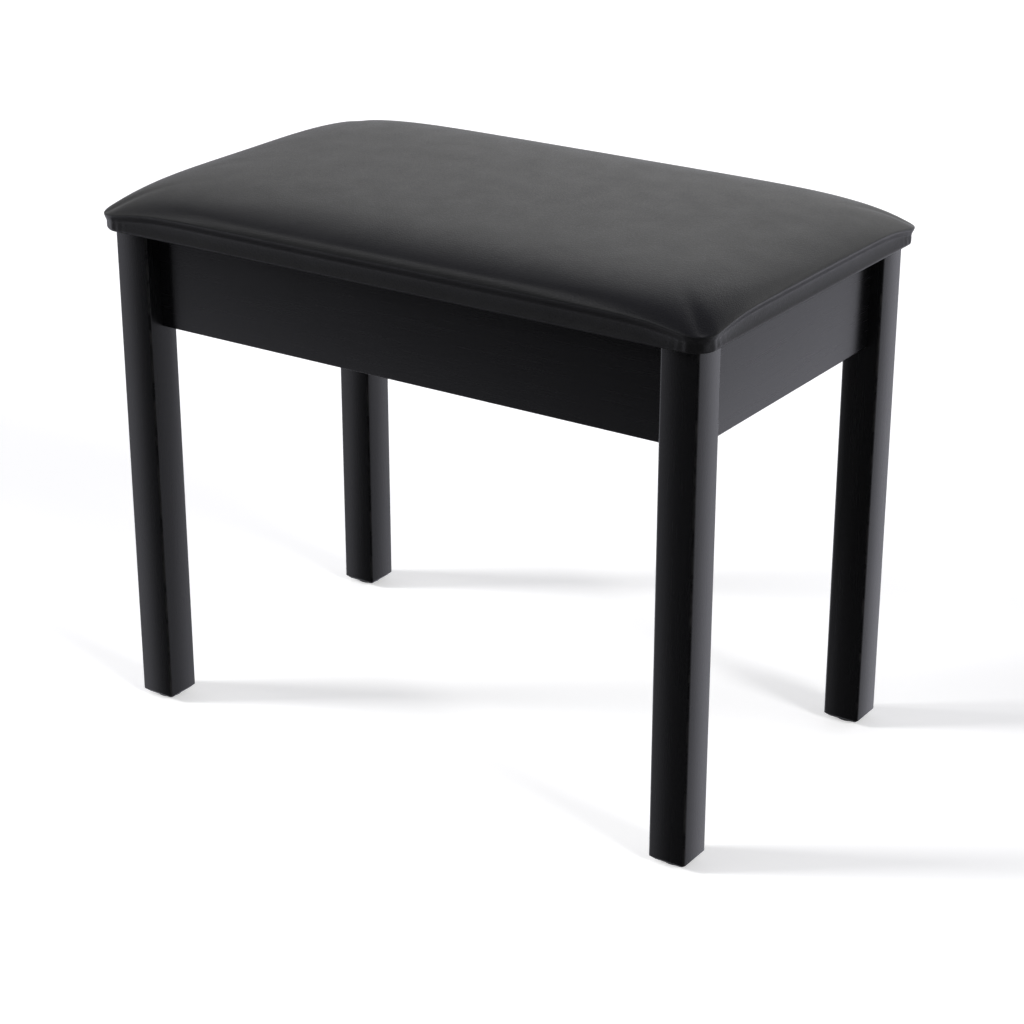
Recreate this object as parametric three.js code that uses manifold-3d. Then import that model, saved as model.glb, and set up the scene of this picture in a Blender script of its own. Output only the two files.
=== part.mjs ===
// Piano bench: a fixed padded seat on four aprons and four square legs, bolted at the corners.
// Millimetres, +Z up. X runs along the length and -Y is the player's side, called front.
// The origin is on the floor under the centre of the seat.

import * as THREE from 'three';
import { mergeVertices } from 'three/addons/utils/BufferGeometryUtils.js';
import Module from 'manifold-3d';

const wasm = await Module();
wasm.setup();

// ---------- driving dimensions ----------

const TOUCH_GAP = 0.3; // left between pieces that touch
const OVERCUT = 5; // how far a cutting tool starts outside the wood

const LENGTH_OVER_LEGS = 560;
const DEPTH_OVER_LEGS = 330;

const LEG_SIDE = 33;
const LEG_ARRIS = 2; // rounding of the long edges
const LEG_BOTTOM = 3;
const LEG_TOP = 431;
const FOOT_CHAMFER = 3;
const LANDING_CUT = 10; // the inner edge is planed off this far where the bolts go in
const LANDING_BOTTOM = 360;

const APRON_THICKNESS = 15;
const APRON_BOTTOM = 348;
const APRON_TOP = LEG_TOP;
const APRON_ARRIS = 1.5;
const LONG_APRON_SETBACK = 15.5; // from the legs' outer faces
const SHORT_APRON_SETBACK = 11;

const BRACE_THICKNESS = 29;
const BRACE_GAP_TO_LANDING = 10; // what the bolts pull against
const BRACE_BOTTOM = 366;
const BRACE_TOP = 426;

const BOLT_HEIGHTS = [380, 412];
const BOLT_SHANK_RADIUS = 3;
const BOLT_HEAD_RADIUS = 5.2;
const BOLT_HEAD_HEIGHT = 3.6;
const BOLT_LENGTH = 60;
const BOLT_END_CHAMFER = 1;
const BOLT_END_CLEARANCE = 2; // between a bolt's end and the bottom of its hole
const HEX_KEY_WIDTH = 4;
const HEX_SOCKET_DEPTH = 2.4;
const BOLT_HOLE_RADIUS = 3.5;
const WASHER_RADIUS = 6;
const WASHER_THICKNESS = 1.6;

const INSERT_LENGTH = 15;
const INSERT_CREST_RADIUS = 5;
const INSERT_ROOT_RADIUS = 4.5;
const INSERT_BORE_RADIUS = 3.3;
const INSERT_RIDGES = 4;

const SCREW_SHANK_RADIUS = 2;
const SCREW_HEAD_RADIUS = 4;
const SCREW_HEAD_HEIGHT = 2.4;
const SCREW_POINT = 4; // length of the pointed end
const PILOT_RADIUS = 2.3;
const SCREW_POCKET_RADIUS = 4.6;
const BRACE_SCREW_HEIGHT = 396;
const BRACE_SCREW_INSET = 40; // from the corner of the aprons' inner faces, along the apron
const BRACE_SCREW_WOOD = 9; // brace wood under the screw's head
const BRACE_SCREW_LENGTH = 20;
const SEAT_SCREW_HEAD_Z = 404;
const SEAT_SCREW_LENGTH = 38;
const SEAT_SCREW_SIDESTEP = 11.3; // from the bolts' vertical plane
const SEAT_SCREW_DEPTH = 9.9; // from the brace's inner face

const GLIDE_RADIUS = 11;
const GLIDE_EDGE = 1.2; // rounding of the edge that meets the floor
const GLIDE_NAIL_RADIUS = 2;
const GLIDE_NAIL_LENGTH = 14;

const SEAT_BOTTOM = 432.1; // underside of the wrapped cover
const SEAT_CROWN = 45; // from the underside to the highest point
const SEAT_LIP = 18; // height of the upright rim at the corners
const RIM_OVERHANG = 9; // beyond the legs' outer faces, at the board's edge
const NOSE_OVERHANG = 12; // beyond the legs' outer faces, where the padding bulges
const SEAT_CORNER_RADIUS = 15;
const SEAT_ARRIS = 3; // rounding of the lower edge
const RIM_UPRIGHT = 11; // height of the board's edge, above which the padding bulges out
const CROWN_POWER = 4.25; // a larger power makes a flatter top and a steeper rim
const COVER_THICKNESS = 1.2;
const COVER_RETURN = 30; // width of the cover's edge stapled under the board
const BOARD_THICKNESS = 12;
const DUST_COVER_THICKNESS = 0.5;
const DUST_COVER_INSET = 12; // from the edge of the seat's underside

const CORNERS = [
  { name: 'front_left', x: -1, y: -1 },
  { name: 'front_right', x: 1, y: -1 },
  { name: 'back_left', x: -1, y: 1 },
  { name: 'back_right', x: 1, y: 1 },
];

// ---------- places worked out from the dimensions ----------

const HALF_LENGTH = LENGTH_OVER_LEGS / 2;
const HALF_DEPTH = DEPTH_OVER_LEGS / 2;
const LEG_INNER_X = HALF_LENGTH - LEG_SIDE;
const LEG_INNER_Y = HALF_DEPTH - LEG_SIDE;
const SHORT_APRON_INNER_X = HALF_LENGTH - SHORT_APRON_SETBACK - APRON_THICKNESS;
const LONG_APRON_INNER_Y = HALF_DEPTH - LONG_APRON_SETBACK - APRON_THICKNESS;

// The planes of a corner's landing and brace run at 45 degrees, and each is named by its x + y.
const LANDING_PLANE = LEG_INNER_X + LEG_INNER_Y + LANDING_CUT;
const BRACE_OUTER_PLANE = LANDING_PLANE - BRACE_GAP_TO_LANDING * Math.SQRT2;
const BRACE_INNER_PLANE = BRACE_OUTER_PLANE - BRACE_THICKNESS * Math.SQRT2;
// x - y along the bolts, which run midway between the ends of the two aprons
const BOLT_LINE = (LEG_INNER_X - LONG_APRON_INNER_Y + SHORT_APRON_INNER_X - LEG_INNER_Y) / 2;
const FLOOR_TO_NAIL_TOP = LEG_BOTTOM - TOUCH_GAP + GLIDE_NAIL_LENGTH;

const UP = new THREE.Vector3(0, 0, 1);
const HOLE_SIDES = 12; // facets of a drilled hole
const TURNED_SIDES = 16; // facets of a turned piece
const GLIDE_SIDES = 20;
const ARRIS_STEPS = 3; // facets of a small rounding
const SEAT_CORNER_STEPS = 4;
const SEAT_STEPS_X = 7; // along a straight side of the seat
const SEAT_STEPS_Y = 4;
const BULGE_STEPS = 4; // from the board's edge up to the nose
const CROWN_RINGS = 8; // from the nose up to the top

// ---------- materials ----------

function finish(color, roughness, metalness) {
  return new THREE.MeshStandardMaterial({ color, roughness, metalness });
}

const blackLacquer = finish(0x151517, 0.45, 0);
const bareWood = finish(0xb98f5f, 0.8, 0);
const plywood = finish(0xc9a878, 0.8, 0);
const leatherette = finish(0x1b1b1d, 0.55, 0);
const foam = finish(0xd9cfae, 0.95, 0);
const dustCloth = finish(0x101011, 0.95, 0);
const zincSteel = finish(0xb4b8bc, 0.35, 0.9);
const blackPlastic = finish(0x0e0e0f, 0.6, 0);

// ---------- helpers ----------

// A closed geometry as a solid that can be joined and cut.
function toSolid(geometry) {
  const bare = geometry.clone();
  bare.deleteAttribute('normal');
  bare.deleteAttribute('uv');
  const merged = mergeVertices(bare, 1e-3);
  return new wasm.Manifold(new wasm.Mesh({
    numProp: 3,
    vertProperties: new Float32Array(merged.getAttribute('position').array),
    triVerts: new Uint32Array(merged.index.array),
  }));
}

function toGeometry(solid) {
  const mesh = solid.getMesh();
  const geometry = new THREE.BufferGeometry();
  geometry.setAttribute('position', new THREE.BufferAttribute(mesh.vertProperties, 3));
  geometry.setIndex(new THREE.BufferAttribute(mesh.triVerts, 1));
  return geometry;
}

function cut(geometry, tools) {
  const remaining = tools.reduce((solid, tool) => solid.subtract(toSolid(tool)), toSolid(geometry));
  return toGeometry(remaining);
}

function addPiece(group, name, geometry, material) {
  const mesh = new THREE.Mesh(geometry, material);
  mesh.name = name;
  group.add(mesh);
  return mesh;
}

// A closed skin through rings of equal length, each counter-clockwise seen from above, lowest first.
function loft(rings) {
  const count = rings[0].length;
  const points = rings.flat();
  const index = [];
  for (let ring = 0; ring < rings.length - 1; ring += 1) {
    for (let i = 0; i < count; i += 1) {
      const a = ring * count + i;
      const b = ring * count + (i + 1) % count;
      index.push(a, b, b + count, a, b + count, a + count);
    }
  }
  const lowCentre = points.push(ringCentre(rings[0])) - 1;
  const highCentre = points.push(ringCentre(rings.at(-1))) - 1;
  const lastRing = (rings.length - 1) * count;
  for (let i = 0; i < count; i += 1) {
    const next = (i + 1) % count;
    index.push(lowCentre, next, i);
    index.push(highCentre, lastRing + i, lastRing + next);
  }
  const geometry = new THREE.BufferGeometry().setFromPoints(points);
  geometry.setIndex(index);
  return geometry;
}

function ringCentre(ring) {
  const sum = ring.reduce((total, point) => total.add(point), new THREE.Vector3());
  return sum.divideScalar(ring.length);
}

// A rounded rectangle as a ring of points, with each straight side split into equal steps.
function roundedRing(halfX, halfY, radius, z, arcSteps, stepsX, stepsY) {
  const points = [];
  for (let quarter = 0; quarter < 4; quarter += 1) {
    const signX = quarter === 0 || quarter === 3 ? 1 : -1;
    const signY = quarter < 2 ? 1 : -1;
    const centreX = signX * (halfX - radius);
    const centreY = signY * (halfY - radius);
    for (let i = 0; i <= arcSteps; i += 1) {
      const angle = (quarter + i / arcSteps) * Math.PI / 2;
      points.push(new THREE.Vector3(
        centreX + radius * Math.cos(angle),
        centreY + radius * Math.sin(angle),
        z,
      ));
    }
    const alongX = quarter % 2 === 0;
    const steps = alongX ? stepsX : stepsY;
    const start = points.at(-1);
    const end = alongX
      ? new THREE.Vector3(-start.x, start.y, z)
      : new THREE.Vector3(start.x, -start.y, z);
    for (let i = 1; i < steps; i += 1) {
      points.push(start.clone().lerp(end, i / steps));
    }
  }
  return points;
}

function roundedRectangleShape(halfX, halfY, radius) {
  const corners = [[1, 1, 0], [-1, 1, 1], [-1, -1, 2], [1, -1, 3]];
  const shape = new THREE.Shape();
  corners.forEach(([signX, signY, quarter]) => {
    const start = quarter * Math.PI / 2;
    shape.absarc(signX * (halfX - radius), signY * (halfY - radius), radius, start, start + Math.PI / 2);
  });
  shape.closePath();
  return shape;
}

// A solid rod from a point along a direction.
function rod(start, direction, radius, length, sides = HOLE_SIDES) {
  const geometry = new THREE.CylinderGeometry(radius, radius, length, sides);
  const along = direction.clone().normalize();
  geometry.applyQuaternion(new THREE.Quaternion().setFromUnitVectors(new THREE.Vector3(0, 1, 0), along));
  const middle = start.clone().addScaledVector(along, length / 2);
  return geometry.translate(middle.x, middle.y, middle.z);
}

// A turned solid about +Z from [radius, z] points, lowest first, that start and end on the axis.
function turned(profile, sides = TURNED_SIDES) {
  const points = profile.map(([radius, z]) => new THREE.Vector2(radius, z));
  return new THREE.LatheGeometry(points, sides).rotateX(Math.PI / 2);
}

// Places a piece made along +Z so that it starts at a point and runs along a direction.
function aim(mesh, start, direction) {
  mesh.position.copy(start);
  mesh.quaternion.setFromUnitVectors(UP, direction.clone().normalize());
}

// ---------- places at one corner ----------

function outwards(corner) {
  return new THREE.Vector3(corner.x, corner.y, 0).normalize();
}

// The point of a corner on the 45 degree plane x + y = plane, on the line x - y = line.
function cornerPoint(corner, plane, line, z) {
  return new THREE.Vector3(corner.x * (plane + line) / 2, corner.y * (plane - line) / 2, z);
}

function boltPoint(corner, plane, z) {
  return cornerPoint(corner, plane, BOLT_LINE, z);
}

function seatScrewPoint(corner) {
  const plane = BRACE_INNER_PLANE + SEAT_SCREW_DEPTH * Math.SQRT2;
  return cornerPoint(corner, plane, BOLT_LINE + SEAT_SCREW_SIDESTEP * Math.SQRT2, SEAT_SCREW_HEAD_Z);
}

// The two screws that hold a brace: one runs outwards into each apron.
function braceScrews(corner) {
  const brace = BRACE_SCREW_WOOD + TOUCH_GAP;
  return [
    {
      name: 'long',
      start: new THREE.Vector3(
        corner.x * (SHORT_APRON_INNER_X - BRACE_SCREW_INSET),
        corner.y * (LONG_APRON_INNER_Y - brace),
        BRACE_SCREW_HEIGHT,
      ),
      direction: new THREE.Vector3(0, corner.y, 0),
    },
    {
      name: 'short',
      start: new THREE.Vector3(
        corner.x * (SHORT_APRON_INNER_X - brace),
        corner.y * (LONG_APRON_INNER_Y - BRACE_SCREW_INSET),
        BRACE_SCREW_HEIGHT,
      ),
      direction: new THREE.Vector3(corner.x, 0, 0),
    },
  ];
}

// ---------- legs and glides ----------

function landingCutter(corner) {
  const depth = LEG_SIDE * 2;
  const cutter = new THREE.BoxGeometry(depth, depth, LEG_TOP - LANDING_BOTTOM + OVERCUT);
  cutter.rotateZ(Math.PI / 4);
  const centre = boltPoint(corner, LANDING_PLANE - depth / Math.SQRT2, 0);
  return cutter.translate(centre.x, centre.y, (LEG_TOP + LANDING_BOTTOM + OVERCUT) / 2);
}

function legGeometry(corner) {
  const half = LEG_SIDE / 2;
  const ring = (inset, z) => roundedRing(half - inset, half - inset, LEG_ARRIS, z, ARRIS_STEPS, 1, 1);
  const blank = loft([
    ring(FOOT_CHAMFER, LEG_BOTTOM),
    ring(0, LEG_BOTTOM + FOOT_CHAMFER),
    ring(0, LEG_TOP),
  ]);
  blank.translate(corner.x * (HALF_LENGTH - half), corner.y * (HALF_DEPTH - half), 0);
  const tools = [landingCutter(corner), nailHole(corner)];
  BOLT_HEIGHTS.forEach((z) => {
    const mouth = boltPoint(corner, LANDING_PLANE, z).addScaledVector(outwards(corner), -OVERCUT);
    const insertDepth = INSERT_LENGTH + 2 * TOUCH_GAP;
    const boltDepth = boltDepthInLeg() + BOLT_END_CLEARANCE;
    tools.push(rod(mouth, outwards(corner), INSERT_CREST_RADIUS + TOUCH_GAP, OVERCUT + insertDepth));
    tools.push(rod(mouth, outwards(corner), BOLT_HOLE_RADIUS, OVERCUT + boltDepth));
  });
  return cut(blank, tools);
}

function boltDepthInLeg() {
  const outsideLeg = (LANDING_PLANE - BRACE_INNER_PLANE) / Math.SQRT2;
  return BOLT_LENGTH - WASHER_THICKNESS - 2 * TOUCH_GAP - outsideLeg;
}

function legCentre(corner, z) {
  return new THREE.Vector3(
    corner.x * (HALF_LENGTH - LEG_SIDE / 2),
    corner.y * (HALF_DEPTH - LEG_SIDE / 2),
    z,
  );
}

function nailHole(corner) {
  const depth = FLOOR_TO_NAIL_TOP + TOUCH_GAP;
  return rod(legCentre(corner, -OVERCUT), UP, GLIDE_NAIL_RADIUS + TOUCH_GAP, depth + OVERCUT);
}

// A round plastic foot with its nail.
function glideGeometry() {
  const top = LEG_BOTTOM - TOUCH_GAP;
  return turned([
    [0, 0],
    [GLIDE_RADIUS - GLIDE_EDGE, 0],
    [GLIDE_RADIUS - GLIDE_EDGE * 0.3, GLIDE_EDGE * 0.3],
    [GLIDE_RADIUS, GLIDE_EDGE],
    [GLIDE_RADIUS, top],
    [GLIDE_NAIL_RADIUS, top],
    [GLIDE_NAIL_RADIUS, FLOOR_TO_NAIL_TOP - GLIDE_NAIL_RADIUS],
    [0, FLOOR_TO_NAIL_TOP],
  ], GLIDE_SIDES);
}

// ---------- aprons ----------

// A rounded board on edge, running along Y, with its centre at the origin.
function apronBlank(length) {
  const height = APRON_TOP - APRON_BOTTOM;
  const section = roundedRectangleShape(APRON_THICKNESS / 2, height / 2, APRON_ARRIS);
  const blank = new THREE.ExtrudeGeometry(section, {
    depth: length,
    bevelEnabled: false,
    curveSegments: ARRIS_STEPS,
  });
  return blank.translate(0, 0, -length / 2).rotateX(Math.PI / 2);
}

function pilotHole(corner, apronName) {
  const screw = braceScrews(corner).find(({ name }) => name === apronName);
  return rod(screw.start, screw.direction, PILOT_RADIUS, BRACE_SCREW_LENGTH + TOUCH_GAP);
}

function longApronGeometry(signY) {
  const blank = apronBlank(2 * (LEG_INNER_X - TOUCH_GAP)).rotateZ(Math.PI / 2);
  const middleY = signY * (LONG_APRON_INNER_Y + APRON_THICKNESS / 2);
  blank.translate(0, middleY, (APRON_TOP + APRON_BOTTOM) / 2);
  const ends = CORNERS.filter((corner) => corner.y === signY);
  return cut(blank, ends.map((corner) => pilotHole(corner, 'long')));
}

function shortApronGeometry(signX) {
  const blank = apronBlank(2 * (LEG_INNER_Y - TOUCH_GAP));
  const middleX = signX * (SHORT_APRON_INNER_X + APRON_THICKNESS / 2);
  blank.translate(middleX, 0, (APRON_TOP + APRON_BOTTOM) / 2);
  const ends = CORNERS.filter((corner) => corner.x === signX);
  return cut(blank, ends.map((corner) => pilotHole(corner, 'short')));
}

// ---------- corner braces ----------

function braceGeometry(corner) {
  const limitX = SHORT_APRON_INNER_X - TOUCH_GAP;
  const limitY = LONG_APRON_INNER_Y - TOUCH_GAP;
  const outline = [
    [limitX, BRACE_OUTER_PLANE - limitX],
    [BRACE_OUTER_PLANE - limitY, limitY],
    [BRACE_INNER_PLANE - limitY, limitY],
    [limitX, BRACE_INNER_PLANE - limitX],
  ];
  const shape = new THREE.Shape(outline.map(([x, y]) => new THREE.Vector2(corner.x * x, corner.y * y)));
  const blank = new THREE.ExtrudeGeometry(shape, {
    depth: BRACE_TOP - BRACE_BOTTOM,
    bevelEnabled: false,
  });
  blank.translate(0, 0, BRACE_BOTTOM);
  return cut(blank, [...boltHoles(corner), ...braceScrewHoles(corner), ...seatScrewHoles(corner)]);
}

function boltHoles(corner) {
  const through = BRACE_THICKNESS + 2 * OVERCUT;
  return BOLT_HEIGHTS.map((z) => {
    const start = boltPoint(corner, BRACE_INNER_PLANE, z).addScaledVector(outwards(corner), -OVERCUT);
    return rod(start, outwards(corner), BOLT_HOLE_RADIUS, through);
  });
}

// A hole for a screw, with a wide pocket that sinks its head.
function sunkHole(start, direction, length) {
  const floor = start.clone().addScaledVector(direction, TOUCH_GAP);
  const back = direction.clone().negate();
  return [
    rod(start, direction, PILOT_RADIUS, length),
    rod(floor, back, SCREW_POCKET_RADIUS, BRACE_TOP - BRACE_BOTTOM),
  ];
}

function braceScrewHoles(corner) {
  return braceScrews(corner).flatMap(({ start, direction }) => (
    sunkHole(start, direction, BRACE_SCREW_LENGTH)
  ));
}

function seatScrewHoles(corner) {
  return sunkHole(seatScrewPoint(corner), UP, SEAT_SCREW_LENGTH);
}

// ---------- fasteners, each made along +Z with the underside of its head at 0 ----------

function boltGeometry() {
  const body = turned([
    [0, -BOLT_HEAD_HEIGHT],
    [BOLT_HEAD_RADIUS * 0.7, -BOLT_HEAD_HEIGHT],
    [BOLT_HEAD_RADIUS * 0.92, -BOLT_HEAD_HEIGHT * 0.6],
    [BOLT_HEAD_RADIUS, 0],
    [BOLT_SHANK_RADIUS, 0],
    [BOLT_SHANK_RADIUS, BOLT_LENGTH - BOLT_END_CHAMFER],
    [BOLT_SHANK_RADIUS - BOLT_END_CHAMFER, BOLT_LENGTH],
    [0, BOLT_LENGTH],
  ]);
  const socketRadius = HEX_KEY_WIDTH / Math.sqrt(3);
  const top = new THREE.Vector3(0, 0, -BOLT_HEAD_HEIGHT - OVERCUT);
  return cut(body, [rod(top, UP, socketRadius, OVERCUT + HEX_SOCKET_DEPTH, 6)]);
}

function washerGeometry() {
  const bore = BOLT_HOLE_RADIUS;
  return turned([
    [bore, 0],
    [WASHER_RADIUS, 0],
    [WASHER_RADIUS, WASHER_THICKNESS],
    [bore, WASHER_THICKNESS],
    [bore, 0],
  ]);
}

// A sleeve with ridges that grip the wood.
function insertGeometry() {
  const pitch = INSERT_LENGTH / INSERT_RIDGES;
  const profile = [[INSERT_BORE_RADIUS, 0]];
  for (let ridge = 0; ridge < INSERT_RIDGES; ridge += 1) {
    profile.push([INSERT_ROOT_RADIUS, ridge * pitch]);
    profile.push([INSERT_CREST_RADIUS, (ridge + 0.5) * pitch]);
  }
  profile.push([INSERT_ROOT_RADIUS, INSERT_LENGTH]);
  profile.push([INSERT_BORE_RADIUS, INSERT_LENGTH]);
  profile.push(profile[0]);
  return turned(profile, HOLE_SIDES);
}

function screwGeometry(length) {
  const body = turned([
    [0, -SCREW_HEAD_HEIGHT],
    [SCREW_HEAD_RADIUS * 0.65, -SCREW_HEAD_HEIGHT],
    [SCREW_HEAD_RADIUS, -SCREW_HEAD_HEIGHT * 0.5],
    [SCREW_HEAD_RADIUS, 0],
    [SCREW_SHANK_RADIUS, 0],
    [SCREW_SHANK_RADIUS, length - SCREW_POINT],
    [0, length],
  ], HOLE_SIDES);
  const slotWidth = SCREW_HEAD_RADIUS * 0.22;
  const slotLength = SCREW_HEAD_RADIUS * 1.1;
  const slots = [[slotWidth, slotLength], [slotLength, slotWidth]].map(([x, y]) => (
    new THREE.BoxGeometry(x, y, SCREW_HEAD_HEIGHT).translate(0, 0, -SCREW_HEAD_HEIGHT)
  ));
  return cut(body, slots);
}

// ---------- seat ----------

// How far the seat's side stands beyond the legs at a height above its underside.
function rimOverhang(height) {
  if (height < SEAT_ARRIS) {
    return RIM_OVERHANG - SEAT_ARRIS + Math.sqrt(SEAT_ARRIS ** 2 - (SEAT_ARRIS - height) ** 2);
  }
  if (height < RIM_UPRIGHT) {
    return RIM_OVERHANG;
  }
  const rise = (1 - Math.cos(Math.PI * (height - RIM_UPRIGHT) / (SEAT_LIP - RIM_UPRIGHT))) / 2;
  return RIM_OVERHANG + rise * (NOSE_OVERHANG - RIM_OVERHANG);
}

// The heights of the rings that draw the rim, from the top of the arris up to a nose.
function rimHeights(noseHeight) {
  const heights = [SEAT_ARRIS, RIM_UPRIGHT];
  for (let step = 1; step <= BULGE_STEPS; step += 1) {
    heights.push(RIM_UPRIGHT + (noseHeight - RIM_UPRIGHT) * step / BULGE_STEPS);
  }
  return heights;
}

function seatRing(overhang, height) {
  return roundedRing(
    HALF_LENGTH + overhang,
    HALF_DEPTH + overhang,
    SEAT_CORNER_RADIUS + overhang - RIM_OVERHANG,
    height,
    SEAT_CORNER_STEPS,
    SEAT_STEPS_X,
    SEAT_STEPS_Y,
  );
}

// The seat's outer form, or the same form shrunk by an inset, from a height up to the crown.
function seatForm(heights, inset) {
  const rings = heights.map((height) => seatRing(rimOverhang(height) - inset, height));
  const nose = seatRing(NOSE_OVERHANG - inset, SEAT_LIP - inset);
  const halfX = HALF_LENGTH + NOSE_OVERHANG - inset;
  const halfY = HALF_DEPTH + NOSE_OVERHANG - inset;
  const swell = (ratio) => Math.sqrt(1 - Math.abs(ratio) ** CROWN_POWER);
  for (let i = 1; i <= CROWN_RINGS; i += 1) {
    const scale = Math.cos(i / (CROWN_RINGS + 1) * Math.PI / 2);
    rings.push(nose.map(({ x, y, z }) => {
      const rise = swell(x * scale / halfX) * swell(y * scale / halfY);
      return new THREE.Vector3(x * scale, y * scale, z + (SEAT_CROWN - SEAT_LIP) * rise);
    }));
  }
  return loft(rings);
}

function plate(overhang, radius, thickness) {
  const curveSegments = SEAT_CORNER_STEPS;
  const shape = roundedRectangleShape(HALF_LENGTH + overhang, HALF_DEPTH + overhang, radius);
  return new THREE.ExtrudeGeometry(shape, { depth: thickness, bevelEnabled: false, curveSegments });
}

function coverGeometry() {
  const outer = seatForm([0, SEAT_ARRIS * 0.3, ...rimHeights(SEAT_LIP)], 0);
  const inner = seatForm(rimHeights(SEAT_LIP - COVER_THICKNESS), COVER_THICKNESS);
  const floor = loft([
    seatRing(RIM_OVERHANG - COVER_THICKNESS, COVER_THICKNESS),
    seatRing(RIM_OVERHANG - COVER_THICKNESS, COVER_THICKNESS + SEAT_ARRIS),
  ]);
  const window = plate(RIM_OVERHANG - COVER_RETURN, SEAT_CORNER_RADIUS, OVERCUT);
  window.translate(0, 0, -OVERCUT / 2);
  return cut(outer, [inner, floor, window]);
}

function foamGeometry() {
  const inset = COVER_THICKNESS + TOUCH_GAP;
  const bottom = boardTop() + TOUCH_GAP;
  const nose = SEAT_LIP - inset;
  return seatForm([bottom, (bottom + nose) / 2, nose], inset);
}

function boardBottom() {
  return COVER_THICKNESS + TOUCH_GAP;
}

function boardTop() {
  return boardBottom() + BOARD_THICKNESS;
}

function seatScrewPilots(below) {
  return CORNERS.map((corner) => {
    const start = seatScrewPoint(corner);
    start.z -= SEAT_BOTTOM + below;
    return rod(start, UP, PILOT_RADIUS, SEAT_SCREW_LENGTH + TOUCH_GAP);
  });
}

function boardGeometry() {
  const edge = RIM_OVERHANG - COVER_THICKNESS - TOUCH_GAP;
  const blank = plate(edge, SEAT_CORNER_RADIUS - COVER_THICKNESS - TOUCH_GAP, BOARD_THICKNESS);
  return cut(blank, seatScrewPilots(boardBottom()));
}

function dustCoverGeometry() {
  const blank = plate(RIM_OVERHANG - DUST_COVER_INSET, SEAT_CORNER_RADIUS / 2, DUST_COVER_THICKNESS);
  return cut(blank, seatScrewPilots(-TOUCH_GAP - DUST_COVER_THICKNESS));
}

// ---------- assembly ----------

function buildSeat() {
  const seat = new THREE.Group();
  seat.position.z = SEAT_BOTTOM;
  addPiece(seat, 'seat_cover', coverGeometry(), leatherette);
  addPiece(seat, 'seat_foam', foamGeometry(), foam);
  addPiece(seat, 'seat_board', boardGeometry(), plywood).position.z = boardBottom();
  const dustCover = addPiece(seat, 'dust_cover', dustCoverGeometry(), dustCloth);
  dustCover.position.z = -TOUCH_GAP - DUST_COVER_THICKNESS;
  return seat;
}

function buildFasteners(corner, bolt, washer, insert) {
  const fasteners = new THREE.Group();
  const out = outwards(corner);
  const along = (plane, z, shift) => boltPoint(corner, plane, z).addScaledVector(out, shift);
  BOLT_HEIGHTS.forEach((z, i) => {
    const tag = `${corner.name}_${i + 1}`;
    const washerShift = -WASHER_THICKNESS - TOUCH_GAP;
    aim(addPiece(fasteners, `leg_bolt_${tag}`, bolt, zincSteel),
      along(BRACE_INNER_PLANE, z, washerShift - TOUCH_GAP), out);
    aim(addPiece(fasteners, `bolt_washer_${tag}`, washer, zincSteel),
      along(BRACE_INNER_PLANE, z, washerShift), out);
    aim(addPiece(fasteners, `leg_insert_${tag}`, insert, zincSteel),
      along(LANDING_PLANE, z, TOUCH_GAP), out);
  });
  const shortScrew = screwGeometry(BRACE_SCREW_LENGTH);
  braceScrews(corner).forEach(({ name, start, direction }) => {
    aim(addPiece(fasteners, `brace_screw_${corner.name}_${name}`, shortScrew, zincSteel), start, direction);
  });
  const seatScrew = screwGeometry(SEAT_SCREW_LENGTH);
  aim(addPiece(fasteners, `seat_screw_${corner.name}`, seatScrew, zincSteel), seatScrewPoint(corner), UP);
  return fasteners;
}

function buildBench() {
  const bench = new THREE.Group();
  const glide = glideGeometry();
  const bolt = boltGeometry();
  const washer = washerGeometry();
  const insert = insertGeometry();
  CORNERS.forEach((corner) => {
    addPiece(bench, `leg_${corner.name}`, legGeometry(corner), blackLacquer);
    addPiece(bench, `glide_${corner.name}`, glide, blackPlastic).position.copy(legCentre(corner, 0));
    addPiece(bench, `corner_brace_${corner.name}`, braceGeometry(corner), bareWood);
    bench.add(buildFasteners(corner, bolt, washer, insert));
  });
  addPiece(bench, 'apron_front', longApronGeometry(-1), blackLacquer);
  addPiece(bench, 'apron_back', longApronGeometry(1), blackLacquer);
  addPiece(bench, 'apron_left', shortApronGeometry(-1), blackLacquer);
  addPiece(bench, 'apron_right', shortApronGeometry(1), blackLacquer);
  bench.add(buildSeat());
  return bench;
}

const group = buildBench();

export default group;
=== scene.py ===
"""Piano bench: a padded leatherette seat on black lacquered aprons and legs, bolted at the corners.

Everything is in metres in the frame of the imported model: +Z up, X along the length, -Y the front.
"""

import math

import bpy
import numpy as np
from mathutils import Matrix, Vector, noise


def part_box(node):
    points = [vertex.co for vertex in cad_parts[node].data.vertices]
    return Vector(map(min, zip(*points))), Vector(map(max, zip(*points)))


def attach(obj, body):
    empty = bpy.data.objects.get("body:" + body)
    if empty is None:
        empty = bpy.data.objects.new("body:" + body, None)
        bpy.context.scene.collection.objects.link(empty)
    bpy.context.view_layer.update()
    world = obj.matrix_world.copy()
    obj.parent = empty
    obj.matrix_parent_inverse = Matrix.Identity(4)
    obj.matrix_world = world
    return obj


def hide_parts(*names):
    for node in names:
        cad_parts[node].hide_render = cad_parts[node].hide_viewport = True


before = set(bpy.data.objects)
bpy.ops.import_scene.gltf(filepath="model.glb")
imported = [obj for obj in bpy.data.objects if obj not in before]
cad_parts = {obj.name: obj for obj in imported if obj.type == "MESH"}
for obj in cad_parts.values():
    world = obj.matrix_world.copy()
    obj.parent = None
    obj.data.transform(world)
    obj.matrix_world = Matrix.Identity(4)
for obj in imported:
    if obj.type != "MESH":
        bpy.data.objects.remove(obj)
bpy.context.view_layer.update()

MM = 0.001
ROOT = "root"

# ---------- camera ----------

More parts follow.
